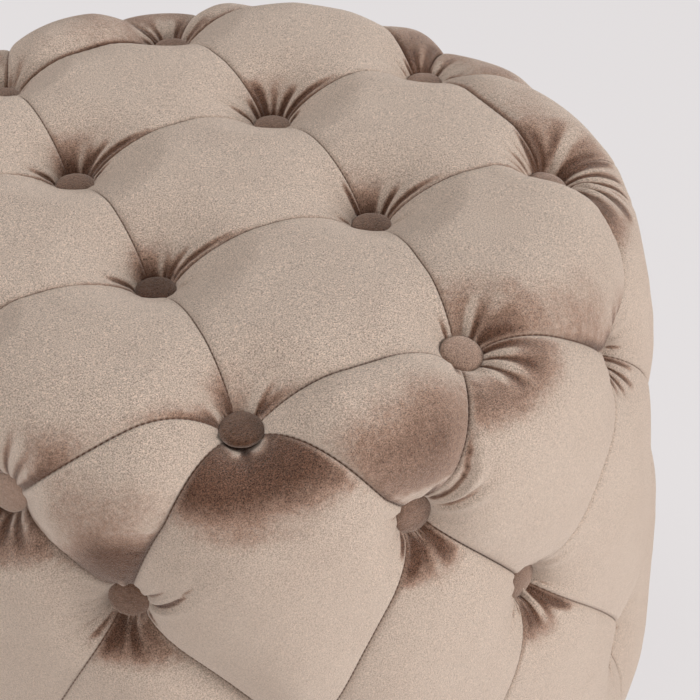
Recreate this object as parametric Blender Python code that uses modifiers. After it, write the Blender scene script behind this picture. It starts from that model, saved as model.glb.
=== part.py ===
"""A round pouf, deep-buttoned all over in velvet.

Two plywood boards and four posts stand inside a fibreboard drum. A foam disc lies on the drum and a
foam ring goes round it. A padded velvet cover is drawn down over the foam at every covered button,
turned in under the base board and closed with a dust cover. Four glides carry the whole on the floor.
Metres, +Z up, the origin on the floor under the middle of the pouf, the front towards -Y.
"""

import math

import bmesh
import bpy
from mathutils import Matrix, Vector

# Body: the buttons sit on a turned surface with a flat top, a round shoulder and a side that bellies out
SEAT_RADIUS = 0.2505
SEAT_TOP_HEIGHT = 0.414
SHOULDER_RADIUS = 0.038
BELLY_HEIGHT = 0.135
SIDE_CURVE_RADIUS = 1.28
FLOOR_CLEARANCE = 0.012
FIT_GAP = 0.0003
CUT_OVERRUN = 0.010

# Velvet cover: how far it stands out from the surface that the buttons sit on
SEAM_END_RISE = 0.0155
SEAM_RISE = 0.024
PANEL_CORNER_RISE = 0.025
PANEL_SIDE_RISE = 0.0285
CROWN_RISE = 0.0295
FULL_SEAM_LENGTH = 0.115
FULL_PANEL_REACH = 0.080
HEM_RISE = 0.0135
SEAM_END_SHARE = 0.23
HEM_BEND_SHARE = 0.25
LOWEST_PANEL_CENTRE_SHARE = 0.45
COVER_UNDER_BUTTON = 0.006
HEM_FLANGE_THICKNESS = 0.003
HEM_FLANGE_WIDTH = 0.055
CAVITY_SIDES = 20
CAVITY_SHOULDER_STEPS = 2

# Covered buttons and the flats that they are pulled down on
BUTTON_DIAMETER = 0.023
BUTTON_RIM_HEIGHT = 0.004
BUTTON_CROWN_DIAMETER = 0.014
BUTTON_CROWN_HEIGHT = 0.0065
BUTTON_DOME_HEIGHT = 0.0075
BUTTON_BACK_EDGE = 0.0018
BUTTON_SIDES = 12
BUTTON_SEAT_MARGIN = 0.004

# Foam, drum and boards
TOP_FOAM_THICKNESS = 0.075
SIDE_FOAM_THICKNESS = 0.030
DRUM_WALL = 0.003
BOARD_THICKNESS = 0.015
ROUND_SIDES = 48
POST_COUNT = 4
POST_WIDTH = 0.045
POST_DEPTH = 0.028
POST_RIM_DISTANCE = 0.010

# Underside: dust cover and glides with their nails
DUST_COVER_THICKNESS = 0.0008
DUST_COVER_OVERLAP = 0.024
DUST_COVER_SLOPE = 0.008
GLIDE_COUNT = 4
GLIDE_DIAMETER = 0.032
GLIDE_EDGE = 0.0025
GLIDE_SLOPE_DISTANCE = 0.003
NAIL_DIAMETER = 0.004
NAIL_REACH_INTO_BOARD = 0.010
NAIL_HOLE_CLEARANCE = 0.0004
GLIDE_SIDES = 24

# Places of the centre buttons, across and along the top, as shares of SEAT_RADIUS
CENTRE_PLACE_SHARES = [(0.283, -0.252), (0.268, 0.241), (-0.261, 0.223), (-0.257, -0.251)]

# Places of the buttons round the rim of the top: angle in degrees, and the way to it from the middle of
# the top, along the seat surface, as a share of SEAT_RADIUS
RIM_PLACE_SHARES = [
    (217.4, 0.986),
    (249.1, 0.805),
    (286.9, 0.786),
    (338.5, 0.792),
    (19.3, 0.745),
    (46.0, 0.950),
    (74.0, 0.741),
    (112.1, 0.733),
    (160.5, 0.775),
    (199.0, 0.780),
]

# Places of the three rows on the side: angle in degrees, drop below the top flat as a share of the
# height of the side. A shoulder or lower button hangs between two rim buttons, a waist button under one.
SHOULDER_PLACE_SHARES = [
    (233.7, 0.214),
    (270.9, 0.137),
    (313.5, 0.123),
    (350.0, 0.135),
    (30.0, 0.185),
    (60.0, 0.190),
    (91.0, 0.140),
    (130.0, 0.110),
    (170.0, 0.135),
    (203.0, 0.190),
]
WAIST_PLACE_SHARES = [
    (220.5, 0.520),
    (254.8, 0.455),
    (287.7, 0.340),
    (328.0, 0.365),
    (9.5, 0.390),
    (45.0, 0.425),
    (75.5, 0.405),
    (111.5, 0.380),
    (150.0, 0.380),
    (187.0, 0.400),
]
LOWER_PLACE_SHARES = [
    (236.5, 0.730),
    (272.0, 0.665),
    (310.0, 0.635),
    (349.0, 0.650),
    (28.0, 0.670),
    (60.5, 0.675),
    (93.0, 0.660),
    (130.5, 0.645),
    (168.5, 0.655),
    (202.5, 0.695),
]

# Rim buttons that a centre button is sewn to, and the shoulder buttons that close two corners of the top
CENTRE_NEIGHBOURS = [(2, 3), (4, 6), (7, 8), (9, 1)]
CORNER_SHOULDERS = (2, 7)

# Levels that follow from the sizes above, and the seat surface's two arcs
COVER_BOTTOM = FLOOR_CLEARANCE + DUST_COVER_THICKNESS + FIT_GAP
FLANGE_TOP = COVER_BOTTOM + HEM_FLANGE_THICKNESS
BASE_BOTTOM = FLANGE_TOP + FIT_GAP
SIDE_HEIGHT = SEAT_TOP_HEIGHT - COVER_BOTTOM
SHOULDER_CENTRE_HEIGHT = SEAT_TOP_HEIGHT - SHOULDER_RADIUS
SIDE_CENTRE_RADIUS = SEAT_RADIUS - SIDE_CURVE_RADIUS
SHOULDER_TURN = math.acos((SHOULDER_CENTRE_HEIGHT - BELLY_HEIGHT) / (SIDE_CURVE_RADIUS - SHOULDER_RADIUS))
FLAT_RADIUS = SIDE_CENTRE_RADIUS + (SIDE_CURVE_RADIUS - SHOULDER_RADIUS) * math.sin(SHOULDER_TURN)
SHOULDER_PATH = SHOULDER_RADIUS * SHOULDER_TURN


def side_radius(height, inset):
    """The radius at a height on the bellied side, so far inside the seat surface."""
    return SIDE_CENTRE_RADIUS + math.sqrt((SIDE_CURVE_RADIUS - inset) ** 2 - (height - BELLY_HEIGHT) ** 2)


# Radii and levels inside the cover. The foam lies so far inside the seat surface that its flat facets
# are clear of those of the cavity.
CAVITY_HALF_STEP = SHOULDER_TURN / CAVITY_SHOULDER_STEPS / 2
CAVITY_FLATNESS = math.cos(math.pi / CAVITY_SIDES)
FOAM_INSET = COVER_UNDER_BUTTON + FIT_GAP / (math.cos(CAVITY_HALF_STEP) * CAVITY_FLATNESS)
FOAM_SPLIT = SEAT_TOP_HEIGHT - FOAM_INSET - TOP_FOAM_THICKNESS
DRUM_TOP = FOAM_SPLIT - FIT_GAP
DRUM_RADIUS = side_radius(FOAM_SPLIT, FOAM_INSET) * CAVITY_FLATNESS - SIDE_FOAM_THICKNESS
BOARD_RADIUS = DRUM_RADIUS - DRUM_WALL - FIT_GAP
FLANGE_INNER_RADIUS = side_radius(FLANGE_TOP, COVER_UNDER_BUTTON) - HEM_FLANGE_WIDTH
GLIDE_REACH = FLANGE_INNER_RADIUS - DUST_COVER_SLOPE - GLIDE_SLOPE_DISTANCE
GLIDE_CIRCLE_RADIUS = GLIDE_REACH - GLIDE_DIAMETER / 2


def path_at_height(height, rise):
    """The way along the seat surface to where what stands so far out from the side is at a height."""
    turn = math.acos((height - BELLY_HEIGHT) / (SIDE_CURVE_RADIUS + rise))
    return FLAT_RADIUS + SHOULDER_PATH + SIDE_CURVE_RADIUS * (turn - SHOULDER_TURN)


def path_at_drop(drop):
    """The way from the middle of the top along the seat surface to a drop below the top flat."""
    if drop < SHOULDER_RADIUS * (1 - math.cos(SHOULDER_TURN)):
        return FLAT_RADIUS + SHOULDER_RADIUS * math.acos(1 - drop / SHOULDER_RADIUS)
    return path_at_height(SEAT_TOP_HEIGHT - drop, 0)


def seat_section(path):
    """Radius and height on the seat surface at a way along it, with the direction that faces out."""
    if path <= FLAT_RADIUS:
        return path, SEAT_TOP_HEIGHT, 0, 1
    turn = (path - FLAT_RADIUS) / SHOULDER_RADIUS
    if turn <= SHOULDER_TURN:
        radius = FLAT_RADIUS + SHOULDER_RADIUS * math.sin(turn)
        height = SHOULDER_CENTRE_HEIGHT + SHOULDER_RADIUS * math.cos(turn)
    else:
        turn = SHOULDER_TURN + (path - FLAT_RADIUS - SHOULDER_PATH) / SIDE_CURVE_RADIUS
        radius = SIDE_CENTRE_RADIUS + SIDE_CURVE_RADIUS * math.sin(turn)
        height = BELLY_HEIGHT + SIDE_CURVE_RADIUS * math.cos(turn)
    return radius, height, math.sin(turn), math.cos(turn)


def outward(chart):
    """The direction that faces out of the seat surface at a chart point.

    A chart point is the seat surface rolled out flat from the middle of the top: its distance from
    zero is the way along the surface, and its direction is the direction round the pouf.
    """
    angle = math.atan2(chart.y, chart.x)
    _, _, across, up = seat_section(chart.length)
    return Vector((across * math.cos(angle), across * math.sin(angle), up))


def on_seat(chart, rise=0):
    """The place in space at a chart point, so far out from the seat surface."""
    angle = math.atan2(chart.y, chart.x)
    radius, height, _, _ = seat_section(chart.length)
    foot = Vector((radius * math.cos(angle), radius * math.sin(angle), height))
    return foot + outward(chart) * rise


def polar(angle, path):
    """A chart point from an angle in degrees and a way along the seat surface."""
    turn = math.radians(angle)
    return Vector((path * math.cos(turn), path * math.sin(turn)))


def between(first, second, share=0.5):
    """A chart point part of the way along a seam, on the side level with its ends and not above them."""
    straight = first.lerp(second, share)
    way = first.length + (second.length - first.length) * share
    on_side = FLAT_RADIUS + SHOULDER_PATH
    lean = min(max((way - FLAT_RADIUS) / (on_side - FLAT_RADIUS), 0), 1)
    length = straight.length + (way - straight.length) * lean
    return straight.normalized() * length


def middle(points):
    """The chart point in the middle of a panel."""
    mean = sum(points, Vector((0, 0))) / len(points)
    way = sum(point.length for point in points) / len(points)
    lean = min(max((way - FLAT_RADIUS) / SHOULDER_PATH, 0), 1)
    if mean.length < FLAT_RADIUS * lean:
        return mean
    return mean.normalized() * (mean.length + (way - mean.length) * lean) if lean else mean


def button_places():
    """The chart point of each button, by its name."""
    places = {}
    for index, (across, along) in enumerate(CENTRE_PLACE_SHARES):
        places[f"centre_button_{index + 1}"] = Vector((across * SEAT_RADIUS, along * SEAT_RADIUS))
    for index, (angle, share) in enumerate(RIM_PLACE_SHARES):
        places[f"rim_button_{index + 1:02d}"] = polar(angle, share * SEAT_RADIUS)
    rows = {
        "shoulder": SHOULDER_PLACE_SHARES,
        "waist": WAIST_PLACE_SHARES,
        "lower": LOWER_PLACE_SHARES,
    }
    for row, shares in rows.items():
        for index, (angle, share) in enumerate(shares):
            places[f"{row}_button_{index + 1:02d}"] = polar(angle, path_at_drop(share * SIDE_HEIGHT))
    return places


def sewn_panels():
    """The names of the corners of each sewn panel, in order round it as seen from outside."""
    count = len(RIM_PLACE_SHARES)
    centre = [f"centre_button_{index + 1}" for index in range(len(CENTRE_PLACE_SHARES))]
    rim, shoulder, waist, lower, hem = (
        [f"{row}_{index % count + 1:02d}" for index in range(count)]
        for row in ("rim_button", "shoulder_button", "waist_button", "lower_button", "hem")
    )
    panels = [tuple(centre)]
    for corner, (before, after) in enumerate(CENTRE_NEIGHBOURS):
        following = CENTRE_NEIGHBOURS[(corner + 1) % len(centre)][0]
        panels.append((centre[corner], rim[after], rim[following], centre[(corner + 1) % len(centre)]))
        shoulder_corner = before in CORNER_SHOULDERS
        outer = shoulder[before] if shoulder_corner else rim[(before + 1) % count]
        panels.append((centre[corner], rim[before], outer, rim[after]))
    for index in range(count):
        after = (index + 1) % count
        if index not in CORNER_SHOULDERS:
            panels.append((rim[index], shoulder[index], rim[after]))
        panels.append((rim[index], shoulder[index - 1], waist[index], shoulder[index]))
        panels.append((shoulder[index], waist[index], lower[index], waist[after]))
        panels.append((waist[index], lower[index - 1], hem[index - 1], hem[index], lower[index]))
    return panels


def hem_place(name, places):
    """The chart point from which the hem stands out, straight under a lower button."""
    above = places[name.replace("hem", "lower_button")]
    return above.normalized() * path_at_height(COVER_BOTTOM, HEM_RISE)


def seat_ring(mesh, chart, seam_middles):
    """Makes the flat under one button, with a corner at each seam and one half way to the next seam.

    Returns the corners in order round the flat, each with the seam that leaves there or None.
    """
    foot = on_seat(chart)
    turned_up = outward(chart).to_track_quat("Z", "Y").to_matrix()
    side, up = turned_up.col[0], turned_up.col[1]
    ring_radius = BUTTON_DIAMETER / 2 + BUTTON_SEAT_MARGIN
    seams = []
    for seam, place in seam_middles.items():
        towards = on_seat(place) - foot
        seams.append((math.atan2(towards.dot(up), towards.dot(side)), seam))
    seams.sort(key=lambda entry: entry[0])
    corners = []
    for index, (angle, seam) in enumerate(seams):
        gap = (seams[(index + 1) % len(seams)][0] - angle) % (2 * math.pi)
        corners.append((angle, seam))
        corners.append((angle + gap / 2, None))
    ring = []
    for angle, seam in corners:
        place = foot + (side * math.cos(angle) + up * math.sin(angle)) * ring_radius
        ring.append((mesh.verts.new(place), seam))
    mesh.faces.new([vertex for vertex, _ in ring])
    return ring


def ring_corners(ring, first, second):
    """The three corners of a flat that one panel meets: on its first seam, half way and on its second."""
    start = [seam for _, seam in ring].index(first)
    found = [ring[(start + step) % len(ring)] for step in range(3)]
    assert found[2][1] == second
    return [vertex for vertex, _ in found]


def seam_rises(length):
    """How far a seam of this length stands out: near a button, and at its middle."""
    fullness = min(length / FULL_SEAM_LENGTH, 1)
    return SEAM_END_RISE * fullness, SEAM_RISE * fullness


def panel_rises(centre, corners):
    """How far a panel stands out: half way to its corners, half way to its seams, and at its crown."""
    reach = sum((on_seat(corner) - on_seat(centre)).length for corner in corners) / len(corners)
    fullness = min(reach / FULL_PANEL_REACH, 1)
    return PANEL_CORNER_RISE * fullness, PANEL_SIDE_RISE * fullness, CROWN_RISE * fullness


def panel_middle(panel, places):
    """The chart point under a panel's crown."""
    if panel[2] in places and not panel[2].startswith("hem"):
        return middle([places[name] for name in panel])
    top, bottom = places[panel[0]], places[panel[2]].length
    return top.normalized() * (bottom + (top.length - bottom) * LOWEST_PANEL_CENTRE_SHARE)


def tufted_cover():
    """The outside of the cover, a closed body: every sewn panel swells between its seams and buttons.

    Each corner of a panel is four faces, between the button's flat, the middles of the two seams that
    leave the button, and the panel's crown. All its points lie over the seat surface by named rises.
    """
    places = button_places()
    panels = sewn_panels()
    buttons = sorted(places)
    for name in sorted({name for panel in panels for name in panel} - set(places)):
        places[name] = hem_place(name, places)
    mesh = bmesh.new()
    middles, seam_ends, seams_of = {}, {}, {name: {} for name in places}
    for panel in panels:
        for first, second in zip(panel, panel[1:] + panel[:1]):
            seam = frozenset((first, second))
            if seam in middles:
                continue
            place = between(places[first], places[second])
            end_rise, rise = seam_rises((on_seat(places[first]) - on_seat(places[second])).length)
            on_hem = first.startswith("hem") and second.startswith("hem")
            middles[seam] = mesh.verts.new(on_seat(place, HEM_RISE if on_hem else rise))
            for name, other in ((first, second), (second, first)):
                seams_of[name][seam] = place
                if on_hem:
                    bend = between(places[name], places[other], HEM_BEND_SHARE)
                    seam_ends[name, seam] = mesh.verts.new(on_seat(bend, HEM_RISE))
                elif not name.startswith("hem"):
                    end = between(places[name], places[other], SEAM_END_SHARE)
                    seam_ends[name, seam] = mesh.verts.new(on_seat(end, end_rise))
    rings = {name: seat_ring(mesh, places[name], seams_of[name]) for name in buttons}
    hems = {}
    for name in places:
        if name.startswith("hem"):
            hems[name] = mesh.verts.new(on_seat(places[name], HEM_RISE))
    for panel in panels:
        add_panel(mesh, panel, places, middles, seam_ends, rings, hems)
    bottom = [edge for edge in mesh.edges if len(edge.link_faces) == 1]
    bmesh.ops.holes_fill(mesh, edges=bottom, sides=0)
    bmesh.ops.recalc_face_normals(mesh, faces=mesh.faces)
    return mesh


def add_panel(mesh, panel, places, middles, seam_ends, rings, hems):
    """The faces of one sewn panel, corner by corner."""
    centre = panel_middle(panel, places)
    corner_rise, side_rise, crown_rise = panel_rises(centre, [places[name] for name in panel])
    crown = mesh.verts.new(on_seat(centre, crown_rise))
    pairs = list(zip(panel, panel[1:] + panel[:1]))
    seams = [frozenset(pair) for pair in pairs]
    sides = []
    for first, second in pairs:
        half_way = between(between(places[first], places[second]), centre)
        sides.append(mesh.verts.new(on_seat(half_way, side_rise)))
    for index, name in enumerate(panel):
        before, after = seams[index - 1], seams[index]
        side_before, side_after = sides[index - 1], sides[index]
        if name in hems:
            bends = [seam_ends.get((name, seam)) for seam in (before, after)]
            edge = [middles[before], bends[0], hems[name], bends[1], middles[after]]
            mesh.faces.new([crown, side_before] + [vertex for vertex in edge if vertex] + [side_after])
            continue
        swell = mesh.verts.new(on_seat(between(places[name], centre), corner_rise))
        end_before, end_after = seam_ends[name, before], seam_ends[name, after]
        on_after, half_way, on_before = ring_corners(rings[name], after, before)
        mesh.faces.new([crown, side_before, swell, side_after])
        mesh.faces.new([side_before, middles[before], end_before, swell])
        mesh.faces.new([swell, end_after, middles[after], side_after])
        mesh.faces.new([swell, end_before, on_before, half_way])
        mesh.faces.new([swell, half_way, on_after, end_after])


def new_material(name, colour, roughness, metallic=0):
    """A plain finish with one colour."""
    material = bpy.data.materials.new(name)
    material.use_nodes = True
    shader = material.node_tree.nodes["Principled BSDF"]
    shader.inputs["Base Color"].default_value = (*colour, 1)
    shader.inputs["Roughness"].default_value = roughness
    shader.inputs["Metallic"].default_value = metallic
    return material


def new_object(name, mesh, material, collection):
    """Puts a mesh in a collection as a named piece."""
    piece = bpy.data.objects.new(name, mesh)
    if material:
        mesh.materials.append(material)
    collection.objects.link(piece)
    return piece


def mesh_from(build, name):
    """A mesh from a bmesh, which it frees."""
    mesh = bpy.data.meshes.new(name)
    build.to_mesh(mesh)
    build.free()
    return mesh


def turned(name, profile, sides, material, collection, closed=False):
    """Turns a profile of radius and height about the upright axis, its outer side listed top to bottom."""
    mesh = bpy.data.meshes.new(name)
    edges = [(index, index + 1) for index in range(len(profile) - 1)]
    if closed:
        edges.append((len(profile) - 1, 0))
    mesh.from_pydata([(radius, 0, height) for radius, height in profile], edges, [])
    piece = new_object(name, mesh, material, collection)
    screw = piece.modifiers.new("Turn", "SCREW")
    screw.steps = sides
    screw.render_steps = sides
    screw.use_merge_vertices = True
    screw.merge_threshold = 0.00001
    screw.use_smooth_shade = sides > CAVITY_SIDES
    return piece


def as_cutter(piece):
    """Shows a piece as wire and keeps it out of the picture."""
    piece.hide_render = True
    piece.display_type = "WIRE"
    return piece


def cut(piece, cutter, name):
    """Takes the shape of one piece out of another."""
    boolean = piece.modifiers.new(name, "BOOLEAN")
    boolean.operation = "DIFFERENCE"
    boolean.object = cutter


def inner_section(inset, levels):
    """The profile so far inside the seat surface: its top flat, its shoulder, and its side at some levels."""
    shoulder = SHOULDER_RADIUS - inset
    profile = [(0, SHOULDER_CENTRE_HEIGHT + shoulder)]
    for step in range(CAVITY_SHOULDER_STEPS + 1):
        turn = SHOULDER_TURN * step / CAVITY_SHOULDER_STEPS
        radius = FLAT_RADIUS + shoulder * math.sin(turn)
        profile.append((radius, SHOULDER_CENTRE_HEIGHT + shoulder * math.cos(turn)))
    return profile + [(side_radius(height, inset), height) for height in levels]


def make_cover(material, parts, cutters):
    """The padded velvet cover, tufted outside, with a plain cavity and a turned-in hem."""
    cover = new_object("velvet_cover", mesh_from(tufted_cover(), "velvet_cover"), material, parts)
    profile = inner_section(COVER_UNDER_BUTTON, [FOAM_SPLIT, BELLY_HEIGHT, FLANGE_TOP])
    mouth = FLANGE_INNER_RADIUS / CAVITY_FLATNESS
    profile += [(mouth, FLANGE_TOP), (mouth, COVER_BOTTOM - CUT_OVERRUN), (0, COVER_BOTTOM - CUT_OVERRUN)]
    cavity = as_cutter(turned("cover_cavity", profile, CAVITY_SIDES, None, cutters))
    cut(cover, cavity, "Cavity")


def make_buttons(material, parts):
    """A covered button on each flat, its back just clear of the velvet."""
    radius = BUTTON_DIAMETER / 2
    profile = [(0, BUTTON_DOME_HEIGHT), (BUTTON_CROWN_DIAMETER / 2, BUTTON_CROWN_HEIGHT)]
    profile += [(radius, BUTTON_RIM_HEIGHT), (radius - BUTTON_BACK_EDGE, 0), (0, 0)]
    pattern = turned("button_pattern", profile, BUTTON_SIDES, material, parts)
    depsgraph = bpy.context.evaluated_depsgraph_get()
    mesh = bpy.data.meshes.new_from_object(pattern.evaluated_get(depsgraph))
    mesh.name = "covered_button"
    bpy.data.objects.remove(pattern)
    for name, chart in button_places().items():
        button = bpy.data.objects.new(name, mesh)
        turn = outward(chart).to_track_quat("Z", "Y").to_matrix().to_4x4()
        button.matrix_world = Matrix.Translation(on_seat(chart, FIT_GAP)) @ turn
        parts.objects.link(button)


def make_foam(material, parts):
    """The foam disc on the drum and the foam ring round it, in the cavity of the cover."""
    disc = inner_section(FOAM_INSET, [FOAM_SPLIT]) + [(0, FOAM_SPLIT)]
    turned("top_foam", disc, CAVITY_SIDES, material, parts)
    hole = (DRUM_RADIUS + FIT_GAP) / CAVITY_FLATNESS
    levels = [FOAM_SPLIT - FIT_GAP, BELLY_HEIGHT, BASE_BOTTOM]
    ring = [(side_radius(height, FOAM_INSET), height) for height in levels]
    ring += [(hole, BASE_BOTTOM), (hole, FOAM_SPLIT - FIT_GAP)]
    turned("side_foam", ring, CAVITY_SIDES, material, parts, closed=True)


def make_frame(wood, board, parts):
    """The drum, its two boards and the posts between them."""
    wall = [(DRUM_RADIUS, DRUM_TOP), (DRUM_RADIUS, BASE_BOTTOM)]
    wall += [(DRUM_RADIUS - DRUM_WALL, BASE_BOTTOM), (DRUM_RADIUS - DRUM_WALL, DRUM_TOP)]
    turned("drum_wrap", wall, ROUND_SIDES, board, parts, closed=True)
    base_top = BASE_BOTTOM + BOARD_THICKNESS
    top_bottom = DRUM_TOP - BOARD_THICKNESS
    upper = [(0, DRUM_TOP), (BOARD_RADIUS, DRUM_TOP), (BOARD_RADIUS, top_bottom), (0, top_bottom)]
    turned("top_board", upper, ROUND_SIDES, wood, parts)
    lower = [(0, base_top), (BOARD_RADIUS, base_top), (BOARD_RADIUS, BASE_BOTTOM), (0, BASE_BOTTOM)]
    base = turned("base_board", lower, ROUND_SIDES, wood, parts)
    height = top_bottom - base_top - 2 * FIT_GAP
    reach = BOARD_RADIUS - POST_RIM_DISTANCE - POST_DEPTH / 2
    for index in range(POST_COUNT):
        build = bmesh.new()
        bmesh.ops.create_cube(build, size=1)
        bmesh.ops.scale(build, vec=(POST_DEPTH, POST_WIDTH, height), verts=build.verts)
        post = new_object(f"post_{index + 1}", mesh_from(build, "post"), wood, parts)
        angle = 2 * math.pi * index / POST_COUNT
        middle_height = (base_top + top_bottom) / 2
        post.location = (reach * math.cos(angle), reach * math.sin(angle), middle_height)
        post.rotation_euler.z = angle
    return base


def glide_places():
    """The middle of each glide on the floor."""
    for index in range(GLIDE_COUNT):
        angle = 2 * math.pi * (index + 0.5) / GLIDE_COUNT
        yield index, (GLIDE_CIRCLE_RADIUS * math.cos(angle), GLIDE_CIRCLE_RADIUS * math.sin(angle), 0)


def make_underside(cloth, plastic, base, parts, cutters):
    """The dust cover over the turned-in hem, and the glides nailed through it into the base board."""
    inner_top = BASE_BOTTOM - FIT_GAP
    outer_top = COVER_BOTTOM - FIT_GAP
    step = FLANGE_INNER_RADIUS - FIT_GAP
    reach = FLANGE_INNER_RADIUS + DUST_COVER_OVERLAP
    thickness = DUST_COVER_THICKNESS
    profile = [(0, inner_top), (step - DUST_COVER_SLOPE, inner_top), (step, outer_top)]
    profile += [(reach, outer_top), (reach, outer_top - thickness), (step, outer_top - thickness)]
    profile += [(step - DUST_COVER_SLOPE, inner_top - thickness), (0, inner_top - thickness)]
    dust_cover = turned("dust_cover", profile, ROUND_SIDES, cloth, parts)
    glide_top = inner_top - thickness - FIT_GAP
    nail_top = BASE_BOTTOM + NAIL_REACH_INTO_BOARD
    hole_radius = NAIL_DIAMETER / 2 + NAIL_HOLE_CLEARANCE
    hole_top = nail_top + FIT_GAP
    for index, place in glide_places():
        nail = NAIL_DIAMETER / 2
        pad = GLIDE_DIAMETER / 2
        shape = [(0, nail_top), (nail, nail_top), (nail, glide_top), (pad, glide_top)]
        shape += [(pad, GLIDE_EDGE), (pad - GLIDE_EDGE, 0), (0, 0)]
        glide = turned(f"glide_{index + 1}", shape, GLIDE_SIDES, plastic, parts)
        glide.location = place
        bore = [(0, hole_top), (hole_radius, hole_top)]
        bore += [(hole_radius, glide_top - CUT_OVERRUN), (0, glide_top - CUT_OVERRUN)]
        hole = as_cutter(turned(f"nail_hole_{index + 1}", bore, GLIDE_SIDES, None, cutters))
        hole.location = place
        cut(base, hole, f"Nail hole {index + 1}")
        cut(dust_cover, hole, f"Nail hole {index + 1}")


def new_collection(name):
    """A collection in the scene."""
    collection = bpy.data.collections.new(name)
    bpy.context.scene.collection.children.link(collection)
    return collection


def main():
    """Clears the scene and makes every piece."""
    for item in list(bpy.data.objects):
        bpy.data.objects.remove(item, do_unlink=True)
    parts = new_collection("tufted_pouf")
    cutters = new_collection("cutters")
    velvet = new_material("taupe_velvet", (0.40, 0.30, 0.235), 0.85)
    button_velvet = new_material("button_velvet", (0.30, 0.21, 0.16), 0.85)
    foam = new_material("foam", (0.86, 0.80, 0.62), 0.9)
    wood = new_material("birch_plywood", (0.62, 0.45, 0.27), 0.6)
    fibreboard = new_material("fibreboard", (0.36, 0.25, 0.15), 0.8)
    dust_cloth = new_material("dust_cover_cloth", (0.02, 0.02, 0.022), 0.95)
    plastic = new_material("glide_plastic", (0.03, 0.03, 0.03), 0.5)
    make_cover(velvet, parts, cutters)
    make_buttons(button_velvet, parts)
    make_foam(foam, parts)
    base = make_frame(wood, fibreboard, parts)
    make_underside(dust_cloth, plastic, base, parts, cutters)


main()
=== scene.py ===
"""Looks of the round deep-buttoned velvet pouf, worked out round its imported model.

The velvet is sewn from square and diamond panels. Each panel swells between its seams, dives at the
covered buttons and is gathered into small pleats there. Metres, +Z up, the front towards -Y.
"""

import math

import bmesh
import bpy
import numpy as np
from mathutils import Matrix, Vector


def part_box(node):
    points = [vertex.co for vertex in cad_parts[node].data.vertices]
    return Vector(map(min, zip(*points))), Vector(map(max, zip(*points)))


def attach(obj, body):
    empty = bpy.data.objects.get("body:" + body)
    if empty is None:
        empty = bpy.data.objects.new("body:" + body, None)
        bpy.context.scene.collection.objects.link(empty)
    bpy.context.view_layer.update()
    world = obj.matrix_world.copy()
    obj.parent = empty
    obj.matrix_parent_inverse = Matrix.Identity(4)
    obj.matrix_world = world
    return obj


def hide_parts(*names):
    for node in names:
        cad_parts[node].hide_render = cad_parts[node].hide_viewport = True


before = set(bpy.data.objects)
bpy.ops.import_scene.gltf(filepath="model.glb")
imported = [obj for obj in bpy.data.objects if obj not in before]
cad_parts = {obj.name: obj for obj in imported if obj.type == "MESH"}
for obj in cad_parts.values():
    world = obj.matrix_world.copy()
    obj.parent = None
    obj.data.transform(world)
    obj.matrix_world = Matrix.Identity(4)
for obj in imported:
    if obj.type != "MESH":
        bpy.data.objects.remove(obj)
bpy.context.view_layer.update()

# Seat surface, on which the buttons sit: a flat top, a round shoulder and a side that bellies out
SEAT_RADIUS = 0.2505
SEAT_TOP_HEIGHT = 0.414
SHOULDER_RADIUS = 0.038
BELLY_HEIGHT = 0.135
SIDE_CURVE_RADIUS = 1.28
SHOULDER_CENTRE_HEIGHT = SEAT_TOP_HEIGHT - SHOULDER_RADIUS
SIDE_CENTRE_RADIUS = SEAT_RADIUS - SIDE_CURVE_RADIUS
SHOULDER_TURN = math.acos((SHOULDER_CENTRE_HEIGHT - BELLY_HEIGHT) / (SIDE_CURVE_RADIUS - SHOULDER_RADIUS))
FLAT_RADIUS = SIDE_CENTRE_RADIUS + (SIDE_CURVE_RADIUS - SHOULDER_RADIUS) * math.sin(SHOULDER_TURN)
SHOULDER_PATH = SHOULDER_RADIUS * SHOULDER_TURN

# Rows of buttons, the two rim buttons that each centre button is sewn to, and the shoulder buttons that
# close two corners of the top. Buttons are counted from 0 here.
BUTTON_ROWS = ("centre", "rim", "shoulder", "waist", "lower")
ROW_COUNT = 10
CENTRE_NEIGHBOURS = [(2, 3), (4, 6), (7, 8), (9, 1)]
CORNER_SHOULDERS = (2, 7)

# Swell of the velvet over the seat surface
SEAM_RISE = 0.0245
EDGE_SEAM_RISE = 0.0180
SHOULDER_SEAM_RISE = 0.0175
CROWN_RISE = 0.0295
FULL_SEAM_LENGTH = 0.075
FULL_PANEL_REACH = 0.048
BUTTON_HOLLOW = 0.0105
HOLLOW_REACH = 0.052
HOLLOW_NEIGHBOUR_SHARE = 0.52
TOP_HOLLOW_ROUNDNESS = 1.6
SIDE_HOLLOW_ROUNDNESS = 2.1
CREASE_REACH = 0.040
CREASE_ROUNDNESS = 1.45
GROOVE_DEPTH = 0.0011
GROOVE_WIDTH = 0.0008
GROOVE_START = 0.006
HEM_RISE = 0.0135
HEM_REACH = 0.090
HEM_ROUNDNESS = 1.3
UNDULATION = 0.0009
WRINKLE = 0.00022
PUCKER = 0.00016
PUCKER_PITCH = 0.0062
PUCKER_REACH = 0.0045
PUCKER_DRIFT = 1.5
PUCKER_DRIFT_PACE = 4

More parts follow.
